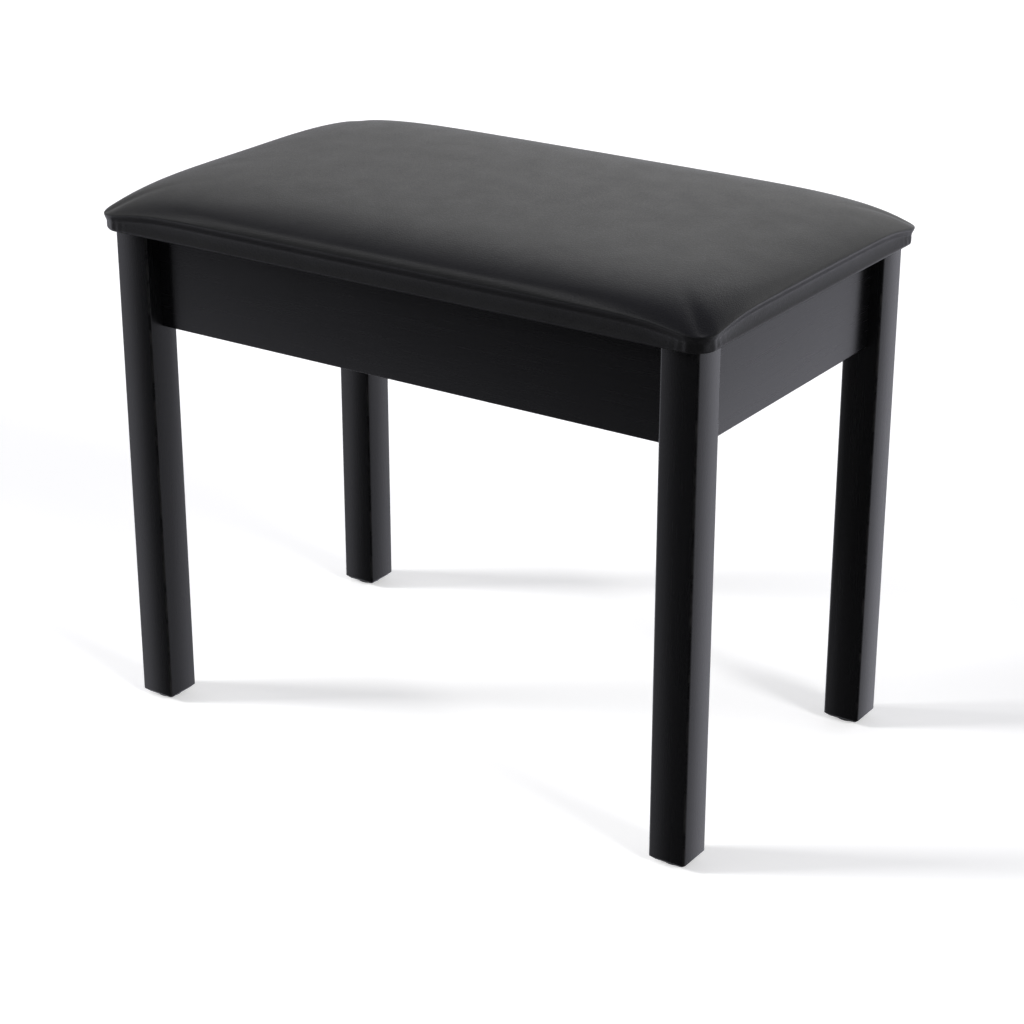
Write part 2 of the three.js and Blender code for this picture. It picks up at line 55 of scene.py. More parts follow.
CAMERA_AZIMUTH = math.radians(33.97)
CAMERA_ELEVATION = math.radians(22.75)
CAMERA_DISTANCE = 2.2295
CAMERA_AIM = Vector((-0.0033, 0.0144, 0.1788))
CAMERA_LENS = 90.4  # millimetres, on a sensor 36 mm wide
SENSOR_WIDTH = 36

# ---------- seat ----------

SEAT_LOW, SEAT_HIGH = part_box("seat_cover")
SEAT_UNDERSIDE = SEAT_LOW.z
NOSE_X, NOSE_Y = SEAT_HIGH.x, SEAT_HIGH.y  # half sizes at the widest place of the rim
NOSE_RADIUS = 20 * MM
NOSE_BULGE = 3 * MM  # how far the nose stands out from the board's covered edge
LIP_INSET = 2.2 * MM  # the folded lower edge, in from the nose
NOSE_HEIGHT = 21.5 * MM
NOSE_DROP = 7.5 * MM  # how much lower the nose is where the cover is pulled down at a corner
NOSE_DROP_REACH = 42 * MM
TUCK = 4.3 * MM  # how far the side runs in below the nose
TUCK_AT_CORNER = 2 * MM
TUCK_HEIGHT = 12.5 * MM  # where the side is furthest in
TUCK_HEIGHT_AT_CORNER = 7 * MM
CROWN_START = 42.2 * MM  # before the pad is blown up
CROWN_POWER = 4.25
ARRIS = 2.4 * MM  # rounding of the lower edge
COVER_THICKNESS = 1.2 * MM
COVER_RETURN = 30 * MM
RETURN_RADIUS = 4 * MM
GRID_X, GRID_Y = 88, 60  # steps along the length and the depth
EDGE_CROWDING = 0.7  # how much closer together the steps are near the rim
CORNER_REACH = 70 * MM  # how far in from the rim the grid's rings are rounded
PRESSURE = 4
STRETCH_STIFFNESS = 300
SHEAR_STIFFNESS = 100
BENDING_STIFFNESS = 60
SIMULATED_FRAMES = 20
MOVE_CAP = 6 * MM  # the most that the simulation may move a point
HELD_CORNER_REACH = 110 * MM  # the cover is tight near the corners and swells less
RELAXED_REACH = 75 * MM
RELAXING_ROUNDS = 60
GATHER_DEPTH = 0.3 * MM
GATHER_SPACING = 7 * MM
GATHER_START = 6 * MM  # from the corner, measured along the rim
GATHER_REACH = 26 * MM
GATHER_TOP = 6 * MM
GATHER_FADE = 9 * MM
WAVES = [(60 * MM, 0.1 * MM), (17 * MM, 0.025 * MM)]  # wavelength and depth of the padding's unevenness


# ---------- meshes ----------

def mesh_object(name, points, faces):
    mesh = bpy.data.meshes.new(name)
    mesh.from_pydata([tuple(p) for p in points], [], faces)
    mesh.validate()
    mesh.shade_smooth()
    piece = bpy.data.objects.new(name, mesh)
    bpy.context.scene.collection.objects.link(piece)
    return piece


def mesh_points(mesh):
    flat = np.zeros(len(mesh.vertices) * 3, np.float32)
    mesh.vertices.foreach_get("co", flat)
    return flat.reshape(-1, 3).astype(float)


def set_mesh_points(mesh, points):
    mesh.vertices.foreach_set("co", points.astype(np.float32).ravel())
    mesh.update()


def mesh_normals(mesh):
    flat = np.zeros(len(mesh.vertices) * 3, np.float32)
    mesh.vertex_normals.foreach_get("vector", flat)
    return flat.reshape(-1, 3).astype(float)


def apply_modifiers(piece):
    """Keeps the shape that the modifiers give and removes them."""
    depsgraph = bpy.context.evaluated_depsgraph_get()
    piece.data = bpy.data.meshes.new_from_object(piece.evaluated_get(depsgraph))
    piece.modifiers.clear()


def subdivide(piece, levels=1):
    modifier = piece.modifiers.new("subdivision", "SUBSURF")
    modifier.levels = modifier.render_levels = levels
    modifier.boundary_smooth = "PRESERVE_CORNERS"


def thicken(piece, thickness):
    modifier = piece.modifiers.new("thickness", "SOLIDIFY")
    modifier.thickness = thickness
    modifier.offset = -1
    modifier.use_even_offset = True


EASED_LENGTH = 2.4  # the grid's spacing eases into a corner over this many radii


class RoundedGrid:
    """A rectangle of quads whose corners are rounded, with rings that can be hung from its edge."""

    def __init__(self, half_x, half_y, radius, steps_x, steps_y, reach, crowding):
        self.half_x, self.half_y, self.radius = half_x, half_y, radius
        self.steps_x, self.steps_y, self.reach = steps_x, steps_y, reach
        self.square = [
            (x * half_x, y * half_y)
            for y in self._spaced(steps_y, crowding)
            for x in self._spaced(steps_x, crowding)
        ]
        self.plan = [self._rounded(x, y) for x, y in self.square]
        self.edge = self._edge()

    @staticmethod
    def _spaced(steps, crowding):
        even = np.linspace(-1, 1, steps + 1)
        return (1 - crowding) * even + crowding * np.sin(even * math.pi / 2)

    def _rounded(self, x, y):
        """Where a point of the square-cornered rectangle goes. Rings further in get a smaller radius."""
        a = abs(x) - (self.half_x - self.reach)
        b = abs(y) - (self.half_y - self.reach)
        ring, side = max(a, b), min(a, b)
        radius = self.radius * ring / self.reach
        eased = EASED_LENGTH * radius
        if side <= max(0, ring - eased):
            return x, y
        share = (side - ring + eased) / eased
        along = side - (1 - math.pi / 4) * radius * share ** 2
        centre = ring - radius
        angle = max(0, along - centre) / radius
        far = centre + radius * math.cos(angle)
        near = centre + radius * math.sin(angle) if angle else along
        if a < b:
            far, near = near, far
        return (
            math.copysign(self.half_x - self.reach + far, x),
            math.copysign(self.half_y - self.reach + near, y),
        )

    def _edge(self):
        """The indices of the rim's points, counter-clockwise from above."""
        row = self.steps_x + 1
        last = row * self.steps_y
        return (
            list(range(0, self.steps_x))
            + [self.steps_x + row * i for i in range(self.steps_y)]
            + [last + self.steps_x - i for i in range(self.steps_x)]
            + [last - row * i for i in range(self.steps_y)]
        )

    def faces(self, start=0, upwards=True):
        row = self.steps_x + 1
        quads = []
        for j in range(self.steps_y):
            for i in range(self.steps_x):
                a = start + j * row + i
                quad = (a, a + 1, a + 1 + row, a + row)
                quads.append(quad if upwards else quad[::-1])
        return quads

    def edge_point(self, index, inset, radius):
        """The edge point moved inwards, on a rounded rectangle with that corner radius."""
        x, y = self.plan[index]
        straight_x, straight_y = self.half_x - self.radius, self.half_y - self.radius
        centre_x = self.half_x - inset - radius
        centre_y = self.half_y - inset - radius
        u, v = abs(x) - straight_x, abs(y) - straight_y
        if v <= 0:
            return math.copysign(centre_x + radius, x), y * centre_y / straight_y
        if u <= 0:
            return x * centre_x / straight_x, math.copysign(centre_y + radius, y)
        angle = math.atan2(v, u)
        return (
            math.copysign(centre_x + radius * math.cos(angle), x),
            math.copysign(centre_y + radius * math.sin(angle), y),
        )


def ring_faces(upper, lower):
    """Quads between two closed rings of indices, facing outwards."""
    count = len(upper)
    return [
        (upper[i], lower[i], lower[(i + 1) % count], upper[(i + 1) % count])
        for i in range(count)
    ]


# ---------- seat cover ----------

def swell(ratio):
    """The crown's height at a share of the way from the middle of the seat to its rim: 1 to 0."""
    return math.sqrt(max(0, 1 - abs(ratio) ** CROWN_POWER))


def corner_pull(x, y, reach=NOSE_DROP_REACH):
    """1 at a corner of the seat, falling to 0 along the rim and inwards."""
    distance = (NOSE_X - abs(x)) + (NOSE_Y - abs(y))
    return math.exp(-(distance / reach) ** 2)


def nose_height(x, y):
    return NOSE_HEIGHT - NOSE_DROP * corner_pull(x, y)


def crown_height(x, y):
    nose = nose_height(x, y)
    return nose + (CROWN_START - nose) * swell(x / NOSE_X) * swell(y / NOSE_Y)


def between(start, end, share):
    return start + (end - start) * share


def rim_profile(x, y):
    """[(inset, corner radius, height)] from just under the nose down and round to the cover's edge."""
    pull = corner_pull(x, y)
    nose = nose_height(x, y)
    tuck = between(TUCK, TUCK_AT_CORNER, pull)
    tuck_height = between(TUCK_HEIGHT, TUCK_HEIGHT_AT_CORNER, pull)
    lip = between(LIP_INSET, TUCK_AT_CORNER, pull)
    profile = []
    for share in (0.12, 0.25, 0.38, 0.52, 0.66, 0.8, 0.92, 1):
        inset = tuck * math.sin(share * math.pi / 2) ** 2
        profile.append((inset, between(nose, tuck_height, share)))
    for share in (0.2, 0.45, 0.7, 0.9):
        profile.append((between(tuck, lip, share ** 2), between(tuck_height, ARRIS, share)))
    for angle in (0, 30, 60, 90):
        turn = math.radians(angle)
        profile.append((lip + ARRIS * (1 - math.cos(turn)), ARRIS * (1 - math.sin(turn))))
    for share in (0.25, 0.5, 0.75, 1):
        profile.append((between(lip + ARRIS, NOSE_BULGE + COVER_RETURN, share), 0))
    return [
        (inset, max(NOSE_RADIUS - inset, RETURN_RADIUS), height)
        for inset, height in profile
    ]


def seat_grid():
    return RoundedGrid(NOSE_X, NOSE_Y, NOSE_RADIUS, GRID_X, GRID_Y, CORNER_REACH, EDGE_CROWDING)


def cover_surface(grid):
    """The leatherette's outer face: the crowned top, the rim and the edge folded under the board."""
    points = [
        (x, y, SEAT_UNDERSIDE + crown_height(*square))
        for (x, y), square in zip(grid.plan, grid.square)
    ]
    faces = grid.faces()
    profiles = [rim_profile(*grid.square[i]) for i in grid.edge]
    upper = grid.edge
    for level in range(len(profiles[0])):
        lower = list(range(len(points), len(points) + len(grid.edge)))
        for index, profile in zip(grid.edge, profiles):
            inset, radius, height = profile[level]
            x, y = grid.edge_point(index, inset, radius)
            points.append((x, y, SEAT_UNDERSIDE + height))
        faces += ring_faces(upper, lower)
        upper = lower
    return mesh_object("seat_cover_leatherette", points, faces)


def blow_up(cover, grid):
    """Cloth simulation: pressure swells the padded top, and the stapled rim holds still."""
    start = mesh_points(cover.data)
    held = set(range(len(grid.plan), len(start))) | set(grid.edge)
    pins = cover.vertex_groups.new(name="held")
    pins.add(sorted(held), 1.0, "REPLACE")
    cloth = cover.modifiers.new("cloth", "CLOTH")
    settings = cloth.settings
    settings.quality = 6
    settings.mass = 0.3
    settings.tension_stiffness = STRETCH_STIFFNESS
    settings.compression_stiffness = STRETCH_STIFFNESS
    settings.shear_stiffness = SHEAR_STIFFNESS
    settings.bending_stiffness = BENDING_STIFFNESS
    settings.use_pressure = True
    settings.uniform_pressure_force = PRESSURE
    settings.vertex_group_mass = pins.name
    settings.effector_weights.gravity = 0
    cloth.point_cache.frame_end = SIMULATED_FRAMES
    scene = bpy.context.scene
    for number in range(1, SIMULATED_FRAMES + 1):
        scene.frame_set(number)
    evaluated = cover.evaluated_get(bpy.context.evaluated_depsgraph_get())
    moved = mesh_points(evaluated.data) - start
    length = np.linalg.norm(moved, axis=1, keepdims=True)
    moved *= np.minimum(1, MOVE_CAP / np.maximum(length, 1e-9))
    for i, (x, y, _) in enumerate(start):
        moved[i] *= 1 - corner_pull(x, y, HELD_CORNER_REACH)
    cover.modifiers.remove(cloth)
    cover.vertex_groups.remove(pins)
    scene.frame_set(1)
    set_mesh_points(cover.data, start + moved)


def relax_corners(cover, grid):
    """Evens out the top near the corners, where the cover is pulled tight over the pad."""
    points = mesh_points(cover.data)
    columns = grid.steps_x + 1
    heights = points[:len(grid.plan), 2].reshape(-1, columns)
    pull = np.array([corner_pull(x, y, RELAXED_REACH) for x, y in grid.plan]).reshape(-1, columns)
    for _ in range(RELAXING_ROUNDS):
        lengthways = (heights[1:-1, :-2] + heights[1:-1, 2:]) / 2
        across = (heights[:-2, 1:-1] + heights[2:, 1:-1]) / 2
        inner = heights[1:-1, 1:-1]
        inner += pull[1:-1, 1:-1] * ((lengthways + across) / 2 - inner)
    set_mesh_points(cover.data, points)


def settle_leather(cover):
    """Gathers at the corners of the rim, and a slight unevenness all over."""
    points = mesh_points(cover.data)
    normals = mesh_normals(cover.data)
    for i, (x, y, z) in enumerate(points):
        height = z - SEAT_UNDERSIDE
        shift = 0
        for number, (wavelength, depth) in enumerate(WAVES):
            place = Vector((x, y, z)) / wavelength + Vector((0, 0, 10 * number))
            shift += depth * noise.noise(place)
        along = (NOSE_X - abs(x)) + (NOSE_Y - abs(y)) - GATHER_START
        low = 1 - min(1, max(0, height - GATHER_TOP) / GATHER_FADE)
        fade = math.exp(-(along / GATHER_REACH) ** 2) * low
        shift += GATHER_DEPTH * fade * math.cos(2 * math.pi * along / GATHER_SPACING)
        points[i] += normals[i] * shift * min(1, height / ARRIS)
    set_mesh_points(cover.data, points)


def build_cover():
    grid = seat_grid()
    cover = cover_surface(grid)
    blow_up(cover, grid)
    relax_corners(cover, grid)
    build_foam(grid, cover)
    subdivide(cover)
    apply_modifiers(cover)
    settle_leather(cover)
    thicken(cover, COVER_THICKNESS)
    finish_piece(cover, leatherette(), "seat_cover")


# ---------- foam ----------

FOAM_INSET = 5 * MM  # from the cover's nose
FOAM_LOWERED = 3 * MM
FOAM_FOOT_INSET = 2 * MM  # how much smaller the pad is where it meets the board
FOAM_LEAST_EDGE = 1 * MM


def shrunk(points, inset):
    """The points moved towards the middle of the seat, by that much at its rim."""
    smaller = points.copy()
    smaller[:, 0] *= 1 - inset / NOSE_X
    smaller[:, 1] *= 1 - inset / NOSE_Y
    return smaller


def build_foam(grid, cover):
    """The pad under the cover: the cover's top made smaller, with a flat bottom on the board."""
    top_count = len(grid.plan)
    points = shrunk(mesh_points(cover.data)[:top_count], FOAM_INSET)
    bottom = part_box("seat_foam")[0].z
    points[:, 2] = np.maximum(points[:, 2] - FOAM_LOWERED, bottom + FOAM_LEAST_EDGE)
    flat = shrunk(points, FOAM_FOOT_INSET)
    flat[:, 2] = bottom
    faces = grid.faces() + grid.faces(top_count, upwards=False)
    faces += ring_faces(grid.edge, [top_count + i for i in grid.edge])
    foam = mesh_object("seat_foam_pad", np.vstack([points, flat]), faces)
    finish_piece(foam, foam_material(), "seat_foam")


# ---------- dust cover ----------

CLOTH_THICKNESS = 0.25 * MM
HEM = 12 * MM
HEM_RADIUS = 7.5 * MM
FOLD_GAP = 0.35 * MM  # between the middles of the hem's two layers
CLOTH_STEPS_X, CLOTH_STEPS_Y = 92, 54
CLOTH_CROWDING = 0.15
SAG = 2.2 * MM
CREASE_DEPTH = 0.6 * MM
CREASES_PER_METRE = (9, 22)
APRON_CLEARANCE = 4 * MM
HOLE_RADIUS = 2.4 * MM
SCREW_CORNERS = ("front_left", "front_right", "back_left", "back_right")


def dust_cover_sag(x, y):
    """How far the cloth hangs between the aprons, with shallow creases."""
    inner_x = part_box("apron_right")[0].x - APRON_CLEARANCE
    inner_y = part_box("apron_back")[0].y - APRON_CLEARANCE
    share = max(0, 1 - (x / inner_x) ** 2) * max(0, 1 - (y / inner_y) ** 2)
    place = Vector((x * CREASES_PER_METRE[0], y * CREASES_PER_METRE[1], 3))
    crease = CREASE_DEPTH * noise.noise(place)
    return share ** 0.7 * (SAG + crease)


def dust_cover_surface():
    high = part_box("dust_cover")[1]
    grid = RoundedGrid(high.x, high.y, HEM_RADIUS, CLOTH_STEPS_X, CLOTH_STEPS_Y, 4 * HEM_RADIUS,
                       CLOTH_CROWDING)
    top = high.z - CLOTH_THICKNESS
    points = [(x, y, top - dust_cover_sag(x, y)) for x, y in grid.plan]
    faces = grid.faces(upwards=False)
    upper = grid.edge
    fold = [(-0.12 * MM, 0.2), (-0.17 * MM, 0.5), (-0.12 * MM, 0.8), (0, 1), (HEM / 2, 1), (HEM, 1)]
    for inset, share in fold:
        lower = list(range(len(points), len(points) + len(grid.edge)))
        for index in grid.edge:
            radius = max(HEM_RADIUS - inset, HEM_RADIUS / 2)
            x, y = grid.edge_point(index, inset, radius)
            points.append((x, y, top - FOLD_GAP * share))
        faces += [quad[::-1] for quad in ring_faces(upper, lower)]
        upper = lower
    return mesh_object("dust_cover_cloth", points, faces)


def cut_screw_holes(piece):
    """Holes where the four seat screws go through."""
    cutters = []
    for corner in SCREW_CORNERS:
        low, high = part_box(f"seat_screw_{corner}")
        bpy.ops.mesh.primitive_cylinder_add(
            vertices=24, radius=HOLE_RADIUS, depth=20 * MM,
            location=((low.x + high.x) / 2, (low.y + high.y) / 2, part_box("dust_cover")[0].z))
        cutters.append(bpy.context.object)
        hole = piece.modifiers.new(f"hole_{corner}", "BOOLEAN")
        hole.operation = "DIFFERENCE"
        hole.solver = "EXACT"
        hole.object = cutters[-1]
    bpy.context.view_layer.update()
    apply_modifiers(piece)
    for cutter in cutters:
        bpy.data.objects.remove(cutter)


def build_dust_cover():
    cloth = dust_cover_surface()
    thicken(cloth, CLOTH_THICKNESS)
    apply_modifiers(cloth)
    cut_screw_holes(cloth)
    finish_piece(cloth, dust_cloth(), "dust_cover")


STAPLE_WIDTH = 10 * MM
STAPLE_LEG = 7 * MM
STAPLE_BEND = 0.8 * MM
WIRE_HALF_WIDTH, WIRE_HALF_HEIGHT = 0.55 * MM, 0.28 * MM
STAPLE_SPACING = 44 * MM


def staple_path():
    """The middle of the wire in its own plane, from one leg's end to the other: (along, up)."""
    half = STAPLE_WIDTH / 2
    path = [(-half, STAPLE_LEG)]
    for angle in (0, 30, 60, 90):
        turn = math.radians(angle)
        path.append((-half + STAPLE_BEND * (1 - math.cos(turn)), STAPLE_BEND * (1 - math.sin(turn))))
    return path + [(-along, up) for along, up in reversed(path)]


def staple_parts(x, y, z, lengthways):
    """Points and faces of one staple whose crown is centred at x, y, z."""
    path = staple_path()
    points, faces = [], []
    for i, (along, up) in enumerate(path):
        before, after = path[max(i - 1, 0)], path[min(i + 1, len(path) - 1)]
        run, rise = after[0] - before[0], after[1] - before[1]
        length = math.hypot(run, rise)
        out = (rise / length, -run / length)
        for side, face in ((-1, -1), (1, -1), (1, 1), (-1, 1)):
            a = along + out[0] * face * WIRE_HALF_HEIGHT
            height = z + up + out[1] * face * WIRE_HALF_HEIGHT
            across = side * WIRE_HALF_WIDTH
            points.append((x + a, y + across, height) if lengthways else (x + across, y + a, height))
    for i in range(len(path) - 1):
        for k in range(4):
            a, b = 4 * i + k, 4 * i + (k + 1) % 4
            faces.append((a, b, b + 4, a + 4))
    faces += [(3, 2, 1, 0), tuple(range(len(points) - 4, len(points)))]
    if not lengthways:
        faces = [face[::-1] for face in faces]
    return points, faces


def staple_places(leg_face):
    """Places along one side between the legs, evenly spaced from the middle."""
    count = int((leg_face - STAPLE_WIDTH) // STAPLE_SPACING)
    return [number * STAPLE_SPACING for number in range(-count, count + 1)]


def build_staples():
    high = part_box("dust_cover")[1]
    leg_x, leg_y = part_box("leg_back_right")[0].xy
    z = high.z - CLOTH_THICKNESS * 1.5 - FOLD_GAP - WIRE_HALF_HEIGHT
    apron_x, apron_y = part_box("apron_right")[1].x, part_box("apron_back")[1].y
    rows = []
    for sign in (-1, 1):
        y = sign * (apron_y + high.y) / 2
        rows += [(x, y, True) for x in staple_places(leg_x)]
        x = sign * (apron_x + high.x) / 2
        rows += [(x, y, False) for y in staple_places(leg_y)]
    points, faces = [], []
    for x, y, lengthways in rows:
        some_points, some_faces = staple_parts(x, y, z, lengthways)
        faces += [tuple(i + len(points) for i in face) for face in some_faces]
        points += some_points
    staples = mesh_object("dust_cover_staples", points, faces)
    staples.data.set_sharp_from_angle(angle=math.radians(40))
    staples.data.materials.append(zinc_steel())
    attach(staples, ROOT)


# ---------- materials ----------

MATERIALS = {}


def material(name):
    """A decorator: the function below it fills in the new material's nodes, and is run once."""
    def decorate(fill):
        def get():
            if name not in MATERIALS:
                made = bpy.data.materials.new(name)
                made.use_nodes = True
                fill(made.node_tree, made.node_tree.nodes["Principled BSDF"])
                MATERIALS[name] = made
            return MATERIALS[name]
        return get
    return decorate


def add(tree, kind, inputs=None, **settings):
    """A new node. An input is a socket to link from, or a value."""
    node = tree.nodes.new("ShaderNode" + kind)
    for name, value in settings.items():
        setattr(node, name, value)
    for name, value in (inputs or {}).items():
        if isinstance(value, bpy.types.NodeSocket):
            tree.links.new(value, node.inputs[name])
        else:
            node.inputs[name].default_value = value
    return node


def coordinates(tree, scale=(1, 1, 1), rotation=(0, 0, 0)):
    """Object coordinates in metres, stretched so that a pattern is fine where the scale is large."""
    source = add(tree, "TexCoord").outputs["Object"]
    return add(tree, "Mapping", {"Vector": source, "Rotation": rotation, "Scale": scale}).outputs["Vector"]


def noise_pattern(tree, vector, scale, detail=4, roughness=0.5, distortion=0.0):
    return add(tree, "TexNoise", {
        "Vector": vector, "Scale": scale, "Detail": detail,
        "Roughness": roughness, "Distortion": distortion}).outputs["Fac"]


def remap(tree, value, low, high, from_low=0.3, from_high=0.7):
    return add(tree, "MapRange", {
        "Value": value, "From Min": from_low, "From Max": from_high,
        "To Min": low, "To Max": high}).outputs["Result"]


def two_colours(tree, factor, first, second):
    node = add(tree, "Mix", {"Factor": factor}, data_type="RGBA")
    node.inputs[6].default_value = (*first, 1)
    node.inputs[7].default_value = (*second, 1)
    return node.outputs[2]


def bump(tree, height, distance, strength=1.0, base=None):
    inputs = {"Height": height, "Distance": distance, "Strength": strength}
    if base is not None:
        inputs["Normal"] = base
    return add(tree, "Bump", inputs).outputs["Normal"]


def product(tree, first, second):
    return add(tree, "Math", {0: first, 1: second}, operation="MULTIPLY").outputs[0]


def plus(tree, first, second):
    return add(tree, "Math", {0: first, 1: second}, operation="ADD").outputs[0]


def connect(tree, shader, **sockets):
    names = {"colour": "Base Color", "roughness": "Roughness", "normal": "Normal"}
    for name, socket in sockets.items():
        tree.links.new(socket, shader.inputs[names[name]])


def edge_mask(tree):
    """1 on a rounded edge between two faces that are square to the frame, and 0 on the faces."""
    normal = add(tree, "NewGeometry").outputs["Normal"]
    parts = add(tree, "SeparateXYZ", {"Vector": normal}).outputs
    total = None
    for first, second in (("X", "Y"), ("Y", "Z"), ("X", "Z")):
        term = add(tree, "Math", {0: product(tree, parts[first], parts[second])}, operation="ABSOLUTE")
        total = term.outputs[0] if total is None else plus(tree, total, term.outputs[0])
    return remap(tree, total, 0, 1, 0.15, 0.5)


@material("leatherette")
def leatherette(tree, shader):
    place = coordinates(tree)
    warp = add(tree, "TexNoise", {"Vector": place, "Scale": 260.0, "Detail": 2.0}).outputs["Color"]
    shifted = add(tree, "VectorMath", {0: warp, "Scale": 0.0022}, operation="SCALE").outputs[0]
    grain_place = add(tree, "VectorMath", {0: place, 1: shifted}, operation="ADD").outputs[0]
    cells = add(tree, "TexVoronoi", {"Vector": grain_place, "Scale": 480.0}, feature="DISTANCE_TO_EDGE")
    pebbles = remap(tree, cells.outputs["Distance"], 0, 1, 0.0, 0.28)
    pores = noise_pattern(tree, place, 2200, detail=2)
    soft = noise_pattern(tree, place, 95, detail=3)
    normal = bump(tree, soft, 0.5 * MM, 0.1)
    normal = bump(tree, pebbles, 0.12 * MM, 0.55, normal)
    normal = bump(tree, pores, 0.05 * MM, 0.3, normal)
    cloudy = noise_pattern(tree, place, 22, detail=5, roughness=0.6)
    shade = remap(tree, cloudy, 0, 1)
    colour = two_colours(tree, shade, (0.0038, 0.0038, 0.0042), (0.0058, 0.0058, 0.0063))
    worn = remap(tree, noise_pattern(tree, place, 38, detail=4), -0.02, 0.02)
    roughness = plus(tree, remap(tree, pebbles, 0.43, 0.36, 0, 1), worn)
    connect(tree, shader, colour=colour, roughness=roughness, normal=normal)
    shader.inputs["Specular IOR Level"].default_value = 0.5


@material("foam")
def foam_material(tree, shader):
    place = coordinates(tree)
    cells = add(tree, "TexVoronoi", {"Vector": place, "Scale": 900.0}).outputs["Distance"]
    colour = two_colours(tree, noise_pattern(tree, place, 60), (0.66, 0.58, 0.38), (0.78, 0.71, 0.52))
    connect(tree, shader, colour=colour, normal=bump(tree, cells, 0.4 * MM, 0.8),
            roughness=remap(tree, cells, 0.85, 1, 0, 1))


@material("dust_cloth")
def dust_cloth(tree, shader):
    place = coordinates(tree)
    fibres = noise_pattern(tree, coordinates(tree, (1400, 320, 1)), 1, detail=5, distortion=1.4)
    turned = coordinates(tree, (320, 1400, 1), (0, 0, 0.6))
    crossed = noise_pattern(tree, turned, 1, detail=5, distortion=1.4)
    web = plus(tree, fibres, crossed)
    dots = add(tree, "TexVoronoi", {"Vector": place, "Scale": 650.0, "Randomness": 0.15})
    pressed = remap(tree, dots.outputs["Distance"], 1, 0, 0.18, 0.3)
    height = add(tree, "Math", {0: web, 1: pressed}, operation="SUBTRACT").outputs[0]
    shade = remap(tree, web, 0, 1, 0.8, 1.2)
    colour = two_colours(tree, shade, (0.006, 0.006, 0.006), (0.024, 0.024, 0.025))
    connect(tree, shader, colour=colour, normal=bump(tree, height, 0.2 * MM, 0.6),
            roughness=remap(tree, pressed, 0.95, 0.7, 0, 1))


def lacquer(name, stretch):
    """Satin black lacquer over wood whose grain runs along the axis with the small stretch."""
    @material(name)
    def fill(tree, shader):
        grain = coordinates(tree, stretch)
        pores = noise_pattern(tree, grain, 1, detail=5, roughness=0.62, distortion=0.4)
        spray = noise_pattern(tree, coordinates(tree), 850, detail=2)
        waves = noise_pattern(tree, coordinates(tree), 14, detail=2)
        normal = bump(tree, waves, 1.2 * MM, 0.12)
        normal = bump(tree, pores, 0.12 * MM, 0.05, normal)
        normal = bump(tree, spray, 0.03 * MM, 0.2, normal)
        patches = remap(tree, noise_pattern(tree, coordinates(tree), 70, detail=4), 0, 1, 0.45, 0.7)
        worn = product(tree, edge_mask(tree), patches)
        colour = two_colours(tree, worn, (0.003, 0.003, 0.0034), (0.014, 0.0135, 0.013))
        roughness = plus(tree, remap(tree, pores, 0.28, 0.25), product(tree, worn, 0.12))
        connect(tree, shader, colour=colour, normal=normal, roughness=roughness)
        shader.inputs["Specular IOR Level"].default_value = 0.5
    return fill


LACQUER = {
    "x": lacquer("black_lacquer_x", (12, 420, 420)),
    "y": lacquer("black_lacquer_y", (420, 12, 420)),
    "z": lacquer("black_lacquer_z", (420, 420, 12)),
}


def wood(name, stretch, rotation, pale, dark):
    @material(name)
    def fill(tree, shader):
        lines = coordinates(tree, stretch, rotation)
        broad = noise_pattern(tree, lines, 0.16, detail=3, distortion=0.8)
        fine = noise_pattern(tree, lines, 1, detail=6, roughness=0.7)
        tone = plus(tree, product(tree, broad, 0.65), product(tree, fine, 0.35))
        colour = two_colours(tree, remap(tree, tone, 0, 1, 0.38, 0.62), pale, dark)
        normal = bump(tree, fine, 0.15 * MM, 0.5)
        connect(tree, shader, colour=colour, normal=normal, roughness=remap(tree, fine, 0.62, 0.82))
    return fill


BRACE_WOOD = {
    turn: wood(f"bare_wood_{turn}", (18, 300, 300), (0, 0, math.radians(angle)),
               (0.52, 0.34, 0.18), (0.36, 0.21, 0.1))
    for turn, angle in (("rising", -45), ("falling", 45))
}
PLY_FACE = ((0.56, 0.41, 0.24), (0.42, 0.28, 0.15))
PLY_COUNT = 7


@material("plywood")
def plywood(tree, shader):
    low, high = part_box("seat_board")
    grain = coordinates(tree, (10, 260, 40))
    face = noise_pattern(tree, grain, 1, detail=6, roughness=0.65, distortion=0.5)
    height = add(tree, "SeparateXYZ", {"Vector": add(tree, "TexCoord").outputs["Object"]}).outputs["Z"]
    layer = remap(tree, height, 0, PLY_COUNT, low.z, high.z)
    turned = add(tree, "Math", {0: layer, 1: 2.0}, operation="MODULO").outputs[0]
    crossed = add(tree, "Math", {0: turned, 1: 1.0}, operation="GREATER_THAN").outputs[0]
    tone = plus(tree, product(tree, face, 0.8), product(tree, crossed, 0.22))
    colour = two_colours(tree, remap(tree, tone, 0, 1, 0.3, 0.75), *PLY_FACE)
    connect(tree, shader, colour=colour, normal=bump(tree, face, 0.2 * MM, 0.5),
            roughness=remap(tree, face, 0.65, 0.85))


@material("zinc_steel")
def zinc_steel(tree, shader):
    place = coordinates(tree)
    spangle = add(tree, "TexVoronoi", {"Vector": place, "Scale": 520.0}).outputs["Color"]
    tone = add(tree, "SeparateXYZ", {"Vector": spangle}).outputs["X"]
    scratches = noise_pattern(tree, coordinates(tree, (300, 300, 3000)), 1, detail=3)
    colour = two_colours(tree, tone, (0.5, 0.51, 0.53), (0.66, 0.67, 0.68))
    connect(tree, shader, colour=colour, normal=bump(tree, scratches, 0.02 * MM, 0.4),
            roughness=remap(tree, plus(tree, product(tree, tone, 0.5), product(tree, scratches, 0.5)),
                            0.26, 0.42, 0.2, 0.8))
    shader.inputs["Metallic"].default_value = 1.0


